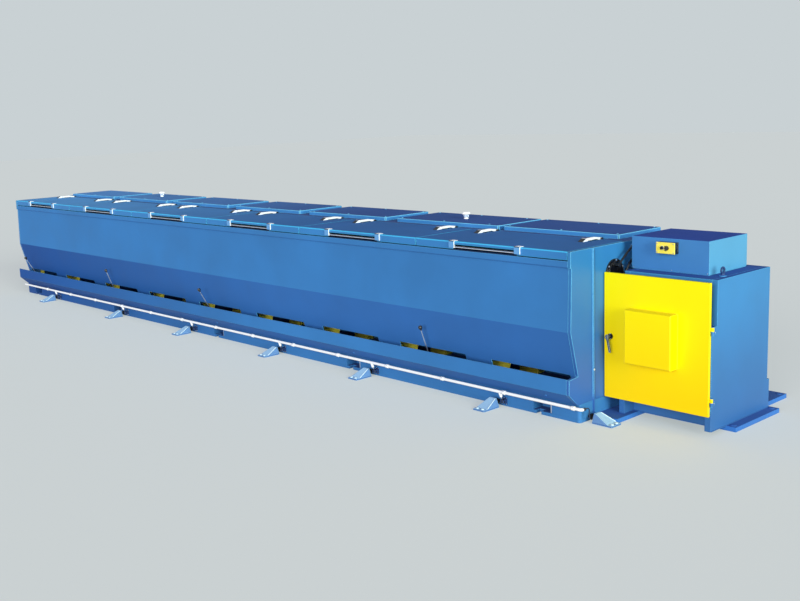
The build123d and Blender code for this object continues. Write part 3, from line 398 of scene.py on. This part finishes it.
pin_spots = [(x - pin_inset, y) for x in pocket_rights for y in (pin_inset, base_depth - pin_inset)]
pin_collar = turned([(9.5, 0), (14, 0), (14, 3.5), (12.5, 5), (9.5, 5)])
pin_collars = [set_at(pin_collar, [(x, y, pin_foot) for x, y in pin_spots])]
pin_collars.append(set_at(pin_collar, [(x, y, pin_top) for x, y in pin_spots], up=(0, 0, -1)))
skin("lifting_pin_collars", np.concatenate(pin_collars), turned_steel)


# Anchor feet: wedge feet cast in iron and sprayed pale blue, each with two toe pads beside its
# anchor hole, a painted highlight down its slope's edge, and a black jack screw with a lock nut.
# The toe pads carry the same painted highlight.
arm_stations = body_length * np.array((0.077, 0.2375, 0.3825, 0.553, 0.7145, 0.905))
foot_stations = arm_stations + 75.0
foot_places = [(-x, y, 0.0) for y in (0.0, base_depth) for x in foot_stations]
foot_places += [(0.0, 123.0, 0.0), (-10525.0, base_depth / 2, 0.0)]
foot_turns = np.radians([0.0] * 6 + [180.0] * 6 + [90.0, -90.0])


def along(path, radius, around=8):
    """Rings of a round section carried along a path: each point plus r (side cos a + rise sin a)."""
    path = np.asarray(path, dtype=float)
    heading = np.gradient(path, axis=0)
    heading /= np.linalg.norm(heading, axis=1, keepdims=True)
    side = np.cross(heading, (0.36, 0.48, 0.80))
    side /= np.linalg.norm(side, axis=1, keepdims=True)
    rise = np.cross(heading, side)
    angle = (np.arange(around) * 2 * math.pi / around)[None, :, None]
    ring = side[:, None, :] * np.cos(angle) + rise[:, None, :] * np.sin(angle)
    return path[:, None, :] + np.broadcast_to(radius, len(path))[:, None, None] * ring


def bead(start, end, radius, ripple=12.0, around=6):
    """Rings of a weld bead from start to end: radius r (1 + 0.15 sin(2 pi s / ripple)), drawn in
    at both ends.
    """
    start, end = np.asarray(start, dtype=float), np.asarray(end, dtype=float)
    length = np.linalg.norm(end - start)
    share = np.linspace(0.0, 1.0, max(8, int(length / ripple * 4)))
    swell = 1 + 0.15 * np.sin(2 * math.pi * share * length / ripple)
    drawn_in = np.sqrt(np.clip(np.minimum(share, 1 - share) * length / radius, 0.1, 1.0))
    return along(start + share[:, None] * (end - start), radius * swell * drawn_in, around)


def at_feet(rings):
    """Copies of rings drawn for a foot that runs out along -Y, turned and moved to each foot:
    x cos a - y sin a, x sin a + y cos a.
    """
    cos, sin = np.cos(foot_turns)[:, None, None], np.sin(foot_turns)[:, None, None]
    x, y, z = np.moveaxis(rings, 2, 0)
    spun = np.stack([x * cos - y * sin, x * sin + y * cos, z + 0 * cos], axis=3)
    return spun + np.array(foot_places)[:, None, None, :]


# The feet's sloped tops are painted lighter than their sides as light falls on them, with painted highlights
# on all edges.
foot_enamel = enamel(
    "pale_blue_foot_enamel",
    "4A7AB8",
    "A2CDF2",
    "B4DCF6",
    roughness=0.4,
    dust=0.2,
    edge_above=-1.0,
)
dress(foot_enamel, "anchor_feet")
black_enamel = enamel("satin_black_enamel", "0A0B10", "101114", "2C2F34", roughness=0.24)
dress(black_enamel, "foot_screws")

# A painted highlight runs down each foot's slope edge, and the toe pads carry it too.
foot_highlight_paint = enamel("foot_edge_painted_highlight", "C8E6F8", "E6FAFF", "FFFFFF", roughness=0.3, dust=0.0)
foot_edges = at_feet(bead((35, -90, 80), (62.5, -226, 17), 4.0, ripple=40))
skin("foot_painted_edge_highlights", foot_edges, foot_highlight_paint)
toe_pad = turned([(14, 0), (14, 4), (12, 6), (6, 7)], around=12)
toe_pads = [at_feet(set_at(toe_pad, [(x, -250, 16)])[0]) for x in (-30, 30)]
skin("foot_toe_pads", np.concatenate(toe_pads), foot_highlight_paint)
lock_nut = turned([(17, 0), (25, 0), (28, 2.5), (28, 13.5), (25, 16), (17, 16)], around=6)
lock_nuts = at_feet(set_at(lock_nut, [(0, -22, 38)], up=(0, -1, 0))[0])
skin("foot_lock_nuts", lock_nuts, black_enamel)


# End plates: thick plates that close the body. The right one carries a rib down its whole
# height, run in with a weld bead in front, with a dark strip of painted shadow behind it, and a
# bright plug.
rib_foot, rib_top = 170.0, 1424.0
# The end plates' coat turns darker towards the bottom, with painted shade on level faces and painted
# highlights on edges.
end_enamel = enamel(
    "blue_end_plate_enamel",
    "317DB9",
    level_shade_blue,
    "6CC6EC",
    rounding=0.008,
    graded_tone=(2, 1.3, 0.4, "2F63AB"),
)
dress(end_enamel, "right_end_plate", "left_end_plate")
rib_weld = bead((1.5, 171.5, rib_foot), (1.5, 171.5, rib_top), 3.5)
skin("end_rib_weld", rib_weld[None], end_enamel)
# Painted shadow: a dark strip behind the rib.
rib_shadow_paint = enamel("painted_rib_shadow", "0C2C6C", "0C2C6C", "0C2C6C", roughness=0.5)
rib_shadow_bead = bead((0.5, 195.0, rib_foot), (0.5, 195.0, rib_top), 8.0)
skin("end_rib_painted_shadow", rib_shadow_bead[None], rib_shadow_paint)
chrome = bare_metal("satin_chrome_plate", "E2EEFC", 0.26, grain=300.0, wear=0.06)
plug = turned([(9, 0), (9, 3), (7, 5), (3, 6)])
skin("end_rib_plug", set_at(plug, [(12, 178, 423)], up=(1, 0, 0)), chrome)


# Front: one bent sheet with slots along its foot, a capping rail, and an open gutter of folded
# sheet with a hemmed lip and a dome-headed plug over each lifting pocket.
dress(front_enamel, "front_panel", "top_rail", "front_trough")
lip_y, lip_z = -135.5, 389.0
trough_left, trough_right = -10448.0, -31.0
hem = turned([(1, 0)], around=10)[0, :, :2] * np.array((3.6, 5.0)) + np.array((lip_y, lip_z))
hem_stations = np.linspace(trough_left, trough_right, 12)
hem_rings = np.stack([np.column_stack([np.full(10, x), hem]) for x in hem_stations])
skin("trough_lip_hem", hem_rings[None], front_enamel)
dome = turned([(11, -1), (11, 3), (9, 6), (4, 8)], around=12)
trough_plugs = [(x, -78.0, 206.0) for x in pocket_rights]
skin("trough_plugs", set_at(dome, trough_plugs, up=(0.0, -105.0, -110.0)), front_enamel)


# Rear body: the closed gear housing, the panels screwed to its back, the beams that tie it to
# the front panel, and the black steel blocks that carry the lids' hinge pins.
dress(front_enamel, "gear_housing", "back_panels", "cross_beams")
dress(black_enamel, "lid_hinge_blocks")
cover_count = 7
cover_gap = 168.0
right_margin, left_margin = 135.0, 157.0
cover_length = (body_length - right_margin - left_margin + cover_gap) / cover_count - cover_gap
cover_rights = -right_margin - (cover_length + cover_gap) * np.arange(cover_count)
screw_head = turned([(8, 0), (8, 2), (6.5, 4), (3, 4.6)], around=10)
panel_screws = [
    (right - share * cover_length - 40 * (1 - 2 * share), 1290.0, z)
    for right in cover_rights
    for share in (0.0, 0.5, 1.0)
    for z in (250.0, 1350.0)
]
skin("back_panel_screws", set_at(screw_head, panel_screws, up=(0, 1, 0)), front_enamel)


# Rear covers: folded sheet boxes on the gear housing, each held by six screws, two of which
# carry a breather with a white mushroom cap over a wire screen.
cover_top = 1466.0
# Painted shade darkens the covers' level faces, a painted reflection lightens them towards the left end, and
# painted highlights light edges and bends.
cover_enamel = enamel(
    "blue_cover_enamel",
    "3A83C4",
    "184A94",
    "7CD4F8",
    far_sheen_colour="4C8CD0",
    roughness=0.42,
    rounding=0.009,
    bends=True,
)
dress(cover_enamel, "rear_covers")
cover_screws = [
    (right - share * cover_length - 45 * (1 - 2 * share), y, cover_top)
    for right in cover_rights
    for share in (0.0, 0.5, 1.0)
    for y in (775.0, 1330.0)
]
skin("rear_cover_screws", set_at(screw_head, cover_screws), cover_enamel)
white_gloss = dict(roughness=0.16, dust=0.0, ior=1.6, mottle=0.0)
white_enamel = enamel("white_gloss_enamel", "FCFCFC", "FCFCFC", "FFFFFF", **white_gloss)
dress(white_enamel, "breathers")
breather_spots = [(cover_rights[1] - 588.0, 1031.0, cover_top), (cover_rights[5] - 715.0, 1090.0, cover_top)]
screen = turned([(15, 16), (27, 17), (27, 41), (15, 42)], around=48)
screen[1:3, ::2, :2] *= 1.06
skin("breather_screens", set_at(screen, breather_spots), turned_steel)


# Drawing compartment: cast iron capstans with ground faces, die boxes in dark blue paint and
# yellow guards that show through the slots over the gutter.
ground_iron = bare_metal("ground_cast_iron", "8A8D90", 0.38, grain=180.0, wear=0.4)
dress(ground_iron, "drawing_capstans", "finish_capstan")
dark_enamel = enamel("dark_blue_enamel", "1F3A6B", "1F3A6B", "4B6FA5")
dress(dark_enamel, "die_boxes")
dress(enamel("yellow_guard_enamel", "E6DC46", "D2B428", "F0E078", roughness=0.42), "inner_guards")


# Lids: trays of folded sheet, sprayed blue, each with a bar handle between two screwed brackets
# in its notched lip. Handle, brackets and hinge arms are zinc plate with their reflections painted
# in: a painted white glint on level and side faces, a painted blue reflection on fronts and
# painted dark on slopes and edges.
# Painted shade darkens the lids' level faces, a painted reflection lightens them towards the left end, and
# painted highlights light edges and bends.
lid_enamel = enamel(
    "blue_lid_enamel",
    "347CBC",
    "2868AC",
    "46C0F4",
    far_sheen_colour="529CDC",
    roughness=0.42,
    rounding=0.012,
    ior=1.38,
    bends=True,
)
# Painted reflections: white on level and side faces, blue on fronts and dark on slopes and edges.
zinc_plate = enamel(
    "zinc_plate_painted_reflections",
    "F4F8FC",
    "FFFFFF",
    "20242C",
    front_lighting_colour="5C9CD6",
    bends=True,
    roughness=0.22,
    dust=0.0,
    rounding=0.0012,
    ior=1.6,
    mottle=0.03,
)
lid_count = 6
lid_gap = 8.0
lid_row_length = 10330.0
lid_inset = 35.0
lid_top = 1434.0
bracket_reach = 375.0
lid_pitch = (lid_row_length + lid_gap) / lid_count
lid_rights = -lid_inset - lid_pitch * np.arange(lid_count)
small_screw = turned([(5, 0), (5, 1.5), (3.6, 3), (1.6, 3.2)], around=8)
for k, right in enumerate(lid_rights, 1):
    dress(lid_enamel, f"lid_{k}")
    dress(zinc_plate, f"lid_{k}_fittings")
    middle = right - (lid_pitch - lid_gap) / 2 - 30.0
    bracket_screws = [
        (middle + side * bracket_reach, y, lid_top) for side in (-1, 1) for y in (-98.0, -74.0)
    ]
    skin(f"lid_{k}_bracket_screws", set_at(small_screw, bracket_screws), chrome, f"lid_{k}")


# Trip bar: a white kick tube with a collar at each joint, hung on T arms, dark blue behind,
# from pivots that are screwed to the base. Set screws hold the collars.
bar_y, bar_z = -75.0, 145.0
trip_pivot_y, trip_pivot_z = -38.0, 48.0
collar_count = 14
collar_start, collar_end = 10.0, 730.0
collar_radius = 17.5
dark_behind = (1, -0.795, -0.785, "1C2A48")
bar_enamel = enamel(
    "white_bar_enamel", "FCFCFC", "FCFCFC", "FFFFFF", graded_tone=dark_behind, **white_gloss
)
dress(bar_enamel, "trip_bar")
dress(dark_enamel, "trip_bar_pivots")
collar_pitch = (body_length - collar_start - collar_end) / (collar_count - 1)
outward = collar_radius * math.sqrt(0.5)
collar_screws = [
    (-collar_start - collar_pitch * k, bar_y - outward, bar_z + outward) for k in range(collar_count)
]
socket_screw = turned([(4, 0), (4, 1.8), (3.4, 2.4), (2, 2.4), (1.8, 0.6)], around=10)
set_screws = set_at(socket_screw, collar_screws, up=(0, -1, 1))
skin("collar_set_screws", set_screws, turned_steel, "trip_bar")
pin_head = turned([(8.5, 0), (8.5, 2), (7, 4), (3, 5)], around=12)
pin_heads = []
for side in (-1, 1):
    pin_ends = [(side * 19.3 - x, trip_pivot_y, trip_pivot_z) for x in arm_stations]
    pin_heads.append(set_at(pin_head, pin_ends, up=(side, 0, 0)))
skin("trip_pin_heads", np.concatenate(pin_heads), black_enamel)
plate_screws = [(side * 14.0 - x, -6.0, z) for x in arm_stations for side in (-1, 1) for z in (22.0, 74.0)]
skin("trip_plate_screws", set_at(small_screw, plate_screws, up=(0, -1, 0)), turned_steel)


# Levers: bright steel rods with black moulded ball knobs, on pins in black forks that stand in
# the gutter.
dress(turned_steel, *[f"lever_{k}" for k in range(1, 5)])
dress(black_enamel, "lever_brackets")


def moulded_plastic(name, colour, roughness):
    """Moulded plastic with a fine spark-eroded grain, drawn at 2 mm, and paler where it is
    rubbed.
    """
    material, tree, out = new_material(name)
    place = node(tree, "ShaderNodeTexCoord").outputs["Object"]
    pits = {"Vector": place, "Scale": 500.0, "Detail": 2.0}
    grain = node(tree, "ShaderNodeTexNoise", pits).outputs[0]
    hands = {"Vector": place, "Scale": 30.0, "Detail": 3.0}
    wear = node(tree, "ShaderNodeTexNoise", hands).outputs[0]
    rubbed = node(tree, "ShaderNodeMapRange", {0: wear, 1: 0.4, 2: 0.7, 4: 0.06}).outputs[0]
    mix = {0: rubbed, 6: linear(colour), 7: linear("FFFFFF")}
    tone = node(tree, "ShaderNodeMix", mix, data_type="RGBA").outputs[2]
    satin = {0: wear, 1: 0.3, 2: 0.7, 3: roughness, 4: roughness + 0.12}
    gloss = node(tree, "ShaderNodeMapRange", satin).outputs[0]
    relief = node(tree, "ShaderNodeBump", {"Strength": 0.1, "Distance": 0.0003, "Height": grain})
    surface = {"Base Color": tone, "Roughness": gloss, "IOR": 1.49, "Normal": relief.outputs[0]}
    shader = node(tree, "ShaderNodeBsdfPrincipled", surface)
    tree.links.new(shader.outputs[0], out.inputs[0])
    return material


black_plastic = moulded_plastic("black_moulded_phenolic", "06060A", 0.2)
knob_angle = np.radians(np.linspace(-55, 68, 12))
knob_profile = [(7.5, -30), (9, -29), (9, -19)]
knob_profile += list(zip(19.7 * np.cos(knob_angle), 19.7 * np.sin(knob_angle)))
knob = turned(knob_profile + [(5, 18.4), (3, 17.8)], around=24)
lever_places = ((0.1625, 20.0), (0.5135, 28.0), (0.7365, 20.0), (0.968, 29.0))
lever_length = 300.0
lever_pivot_y, lever_pivot_z = -45.0, 330.0
fork_heads = []
for k, (share, lean) in enumerate(lever_places, 1):
    reach = np.array((0.0, -math.sin(math.radians(lean)), math.cos(math.radians(lean))))
    pivot = np.array((-body_length * share, lever_pivot_y, lever_pivot_z))
    ball = set_at(knob, [pivot + lever_length * reach], up=reach)
    skin(f"lever_{k}_knob", ball, black_plastic, f"lever_{k}")
    fork_heads += [set_at(pin_head, [pivot + (side * 19.5, 0, 0)], up=(side, 0, 0)) for side in (-1, 1)]
skin("lever_pin_heads", np.concatenate(fork_heads), black_enamel)


# End flange and hoses: a black flange held by six plated screws, and two lengths of smooth
# black rubber hose, 20 mm across, between elbow glands with hexagon nuts.
hose_diameter = 20.0
hose_x = 62.0
flange_y, flange_z = 470.0, 1185.0
dress(black_enamel, "end_flange")
flange_turns = np.radians(np.arange(6) * 60.0 + 24.0)
screw_circle = 109.0
flange_screws = [
    (12.0, flange_y + screw_circle * math.cos(a), flange_z + screw_circle * math.sin(a))
    for a in flange_turns
]
hex_head = turned([(9.5, 0), (9.5, 5), (8, 6.5), (4, 6.8)], around=6)
skin("flange_screws", set_at(hex_head, flange_screws, up=(1, 0, 0)), chrome)


def hose_rubber():
    """Extruded nitrile rubber: a smooth satin black with faint cloth-wrap rings and a dusty
    bloom.
    """
    material, tree, out = new_material("extruded_nitrile_rubber")
    place = node(tree, "ShaderNodeTexCoord").outputs["Object"]
    dust = {"Vector": place, "Scale": 40.0, "Detail": 3.0}
    bloom = node(tree, "ShaderNodeTexNoise", dust).outputs[0]
    wraps = {"Vector": place, "Scale": 60.0, "Distortion": 1.5}
    rings = node(tree, "ShaderNodeTexWave", wraps, bands_direction="Z").outputs[0]
    greyed = node(tree, "ShaderNodeMapRange", {0: bloom, 1: 0.45, 2: 0.75, 4: 0.2}).outputs[0]
    mix = {0: greyed, 6: linear("08080E"), 7: linear("2A2C3C")}
    tone = node(tree, "ShaderNodeMix", mix, data_type="RGBA").outputs[2]
    satin = {0: bloom, 1: 0.3, 2: 0.7, 3: 0.32, 4: 0.45}
    gloss = node(tree, "ShaderNodeMapRange", satin).outputs[0]
    relief = node(tree, "ShaderNodeBump", {"Strength": 0.15, "Distance": 0.0006, "Height": rings})
    surface = {"Base Color": tone, "Roughness": gloss, "IOR": 1.52, "Normal": relief.outputs[0]}
    shader = node(tree, "ShaderNodeBsdfPrincipled", surface)
    tree.links.new(shader.outputs[0], out.inputs[0])
    return material


rubber = hose_rubber()
hose_routes = {
    "upper_hose": (((462.0, 1272.0), (545.0, 1340.0), (630.0, 1386.0)), 0.204),
    "lower_hose": (((540.0, 1178.0), (566.0, 1224.0), (606.0, 1264.0), (662.0, 1300.0)), 0.175),
}
gland_profile = [(12.5, -13), (14.5, -13), (16, -11.5), (16, -2), (14.5, -0.5), (11, 1.5), (10.2, 1.5)]
gland_nut = turned(gland_profile, around=6)
gland_nuts = []
for name, (route, length) in hose_routes.items():
    route = np.array([(hose_x, y, z) for y, z in route])
    for tip, follower in ((route[0], route[1]), (route[-1], route[-2])):
        gland_nuts.append(set_at(gland_nut, [tip], up=follower - tip))
    curve = bpy.data.curves.new(name + "_line", "CURVE")
    curve.dimensions = "3D"
    curve.bevel_depth = hose_diameter / 2000
    curve.bevel_resolution = 5
    curve.use_fill_caps = True
    spline = curve.splines.new("NURBS")
    spline.points.add(len(route) - 1)
    placed = route / 1000 + np.array(corner)
    for point, place in zip(spline.points, placed.tolist()):
        point.co = (*place, 1.0)
    spline.order_u = 3
    spline.use_endpoint_u = True
    spline.resolution_u = 12
    curve.materials.append(rubber)
    hose = bpy.data.objects.new(name + "_rubber", curve)
    bpy.context.scene.collection.objects.link(hose)
    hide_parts(name)
    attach(hose, "machine")
skin("hose_gland_nuts", np.concatenate(gland_nuts), black_plastic)


# Cabinet: folded sheet sides, top, back and sill on a thick base plate, run in with weld beads,
# with a washer at each anchor hole and an eye bolt with a turned collar on top.
plate_top = 38.0
# Painted shade darkens the cabinet's level faces and painted highlights light its edges; the coat turns
# darker towards the bottom.
side_enamel = enamel(
    "blue_cabinet_enamel",
    "3B81B9",
    "24509C",
    "5CC0EE",
    ior=1.38,
    graded_tone=(2, 1.1, 0.1, "356CAB"),
)
dress(side_enamel, "cabinet_right_side", "cabinet_left_side", "cabinet_top", "cabinet_back", "cabinet_sill")
dress(side_enamel, "door_hinge_pins")
dress(dark_enamel, "lifting_eye")
plate_enamel = enamel("blue_base_plate_enamel", "3175C8", "3062AE", edge_highlight_blue)
dress(plate_enamel, "cabinet_base_plate")
weld_z = plate_top + 1.0
side_beads = [bead((x, 372.0, weld_z), (x, 1262.0, weld_z), 4.0, ripple=16)[None] for x in (129.0, 972.0)]
skin("cabinet_side_welds", np.concatenate(side_beads), side_enamel)
anchor_washer = turned([(12, 0), (24, 0), (24, 3), (22, 4), (12, 4), (11.5, 3)], around=20)
anchor_holes = ((1015.0, 635.0), (1015.0, 1245.0), (855.0, 1685.0), (245.0, 1685.0))
washer_spots = [(x, y, plate_top) for x, y in anchor_holes]
skin("anchor_hole_washers", set_at(anchor_washer, washer_spots), plate_enamel)
eye_collar = turned([(17.5, 0), (29, 0), (29, 4), (26, 7), (19, 9), (17.5, 9)], around=24)
skin("eye_bolt_collar", set_at(eye_collar, [(897.0, 633.0, 1220.0)]), side_enamel)
back_screws = [(x, 1240.0, z) for x in (215.0, 550.0, 886.0) for z in (330.0, 740.0, 1150.0)]
skin("cabinet_back_screws", set_at(screw_head, back_screws, up=(0, 1, 0)), side_enamel)


# Top box: a control enclosure whose deep cover is held by three screws along its front edge.
# Its push-button station has a pale yellow cover on a black base, with four screws.
box_front = 580.0
station_front = 520.0
# Painted light and shade: the box's sides are painted lighter than its front, its top dark, and its edges
# with highlights.
box_enamel = enamel(
    "blue_control_box_enamel", "549EC9", "103E98", "6CCBF4", front_lighting_colour="407FBD", ior=1.38
)
dress(box_enamel, "top_box")
box_screws = [(x, box_front, 1234.0) for x in (116.0, 475.0, 796.0)]
skin("top_box_screws", set_at(small_screw, box_screws, up=(0, -1, 0)), turned_steel)
dress(black_plastic, "station_base", "push_button", "selector_knob")
dress(moulded_plastic("pale_yellow_moulded_abs", "FFEC50", 0.3), "station_cover")
station_screws = [(x, station_front, z) for x in (377.0, 527.0) for z in (1384.0, 1454.0)]
skin("station_screws", set_at(small_screw, station_screws, up=(0, -1, 0)), turned_steel)
button_ring = turned([(13.5, 0), (17, 0), (17, 2.5), (15.5, 4), (13.8, 4), (13.5, 1)], around=24)
button_spot = (425.0, station_front, 1420.0)
skin("push_button_ring", set_at(button_ring, [button_spot], up=(0, -1, 0)), chrome)


# Door: a folded steel pan with a raised box welded on, sprayed yellow, that closes on a black
# rubber strip and swings on two pins with domed caps.
strip_y = 350.5
box_weld_y = 324.5
handle_x, handle_z = 70.0, 685.0
hinge_feet = (248.0, 808.0)
# Painted shade darkens the tops of the door and its raised box, with painted highlights on edges; the coat
# turns darker towards the bottom.
door_enamel = enamel(
    "yellow_door_enamel",
    "FFF000",
    "E8DA04",
    "FFFA28",
    roughness=0.3,
    dust=0.0,
    ior=1.30,
    mottle=0.02,
    graded_tone=(2, 1.15, 0.25, "FFD800"),
)
dress(door_enamel, "cabinet_door")


def plate(width, height, thickness, corner_radius, soft, around=24):
    """Rings about Z of a flat plate with round corners, whose upper edge is rounded by soft."""
    angle = (np.arange(around) + 0.5) * 2 * math.pi / around
    levels = ((0.0, 0.0), (thickness - soft, 0.0), (thickness - 0.3 * soft, 0.3 * soft), (thickness, soft))
    rings = []
    for level, inset in levels:
        radius = max(corner_radius - inset, 0.3)
        x = np.sign(np.cos(angle)) * (width / 2 - inset - radius) + radius * np.cos(angle)
        y = np.sign(np.sin(angle)) * (height / 2 - inset - radius) + radius * np.sin(angle)
        rings.append(np.stack([x, y, np.full(around, level)], axis=1))
    return np.stack(rings)


upright_strip = plate(14.0, 1010.0, 8.5, 3.0, 3.0)
level_strip = plate(900.0, 14.0, 8.5, 3.0, 3.0)
strips = [set_at(upright_strip, [(x, strip_y, 689.0) for x in (30.0, 948.0)], up=(0, 1, 0))]
strips.append(set_at(level_strip, [(489.0, strip_y, z) for z in (187.0, 1191.0)], up=(0, 1, 0)))
skin("door_seal_strips", np.concatenate(strips), rubber, "cabinet_door")
upright_beads = [bead((x, box_weld_y, 508), (x, box_weld_y, 940), 3.5)[None] for x in (265.0, 696.0)]
skin("door_box_side_welds", np.concatenate(upright_beads), door_enamel, "cabinet_door")
level_beads = [bead((269, box_weld_y, z), (692, box_weld_y, z), 3.5)[None] for z in (504.0, 944.0)]
skin("door_box_end_welds", np.concatenate(level_beads), door_enamel, "cabinet_door")
hinge_cap = turned([(5.2, -3), (10.8, -1), (10.8, 1), (8.5, 3.5), (4, 4.6)], around=16)
cap_spots = [(987.0, 345.0, z + 64.0) for z in hinge_feet]
skin("door_hinge_caps", set_at(hinge_cap, cap_spots), side_enamel, "cabinet_door")
leaf_screws = [(980.0, y, z + 16.0) for y in (368.0, 393.0) for z in hinge_feet]
skin("door_hinge_screws", set_at(small_screw, leaf_screws, up=(1, 0, 0)), turned_steel)

dress(black_plastic, "door_rose")
# The handle's level faces and edges are painted lighter as highlights.
handle_enamel = enamel("grey_blue_handle_enamel", "3C4A5E", "5A6C84", "B8C8D8", roughness=0.3, dust=0.0)
dress(handle_enamel, "door_handle")
rose_spots = [(handle_x, 316.0, handle_z + side * 19.0) for side in (-1, 1)]
tiny_screw = turned([(3, 0), (3, 1), (2.2, 1.8), (1, 2)], around=8)
rose_screws = set_at(tiny_screw, rose_spots, up=(0, -1, 0))
skin("door_rose_screws", rose_screws, turned_steel, "cabinet_door")
handle_hub = turned([(15.3, 0), (15.3, 3), (13.5, 5), (7, 6), (6, 4.5)], around=20)
handle_cap = set_at(handle_hub, [(handle_x, 267.0, handle_z)], up=(0, -1, 0))
skin("door_handle_cap", handle_cap, handle_enamel, "door_handle")
